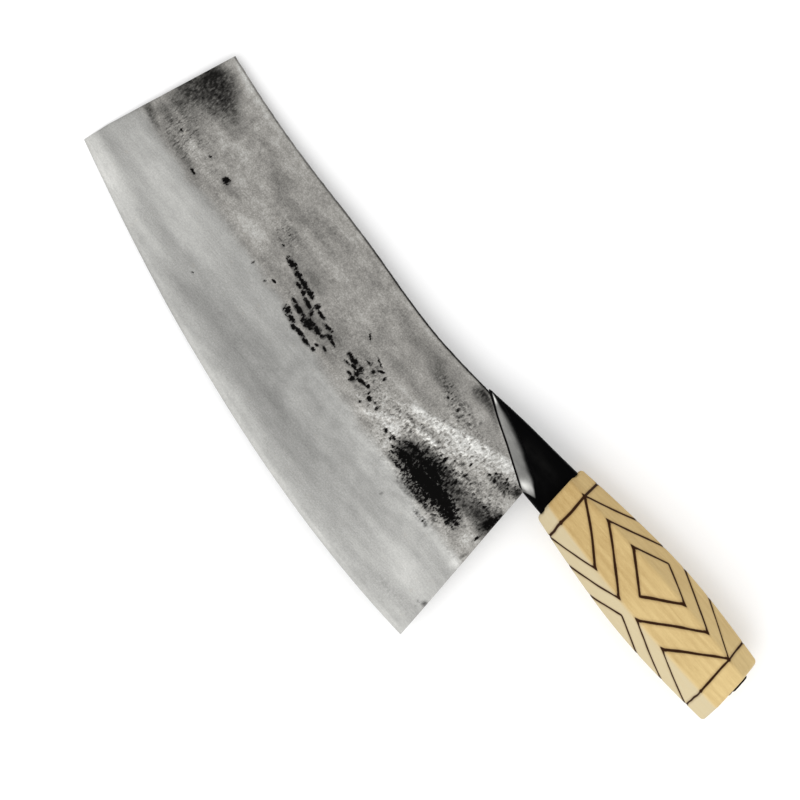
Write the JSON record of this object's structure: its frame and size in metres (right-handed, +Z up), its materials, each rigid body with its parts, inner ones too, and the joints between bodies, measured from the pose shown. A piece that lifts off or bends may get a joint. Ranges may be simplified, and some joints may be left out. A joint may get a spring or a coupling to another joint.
{
  "type": "meat cleaver",
  "caption": "Hand-forged cleaver: broad tapered blade with a pitted forge-finished upper face, black welded neck, hexagonal wooden handle with burned diamond lines.",
  "frame": {"origin": "centre of the footprint on the table, with the knife lying on its right side", "axes": "+X along the handle from the blade to the butt, +Y from the cutting edge to the spine, +Z up, out of the blade's left face; the knife rests on its toe and the handle's lower ridge, so the blade's face is tilted 2.9 degrees down to the toe and the spine is raised 1.8 degrees"},
  "size_m": [0.3384, 0.1038, 0.0334],
  "materials": {
    "blade_iron": "hammered and ground by hand, with forge scale left in the pits",
    "edge_steel": "ground along the cutting edge",
    "black_iron": "black forge scale, slightly glossy",
    "ground_weld": "bright ground metal",
    "handle_wood": "bare pale wood with burned lines"
  },
  "bodies": {
    "root": {"blade": "blade_iron", "edge_steel": "edge_steel", "neck": "black_iron", "weld_fillet_left": "ground_weld", "weld_fillet_right": "ground_weld", "tang": "black_iron", "handle": "handle_wood"}
  },
  "joints": []
}
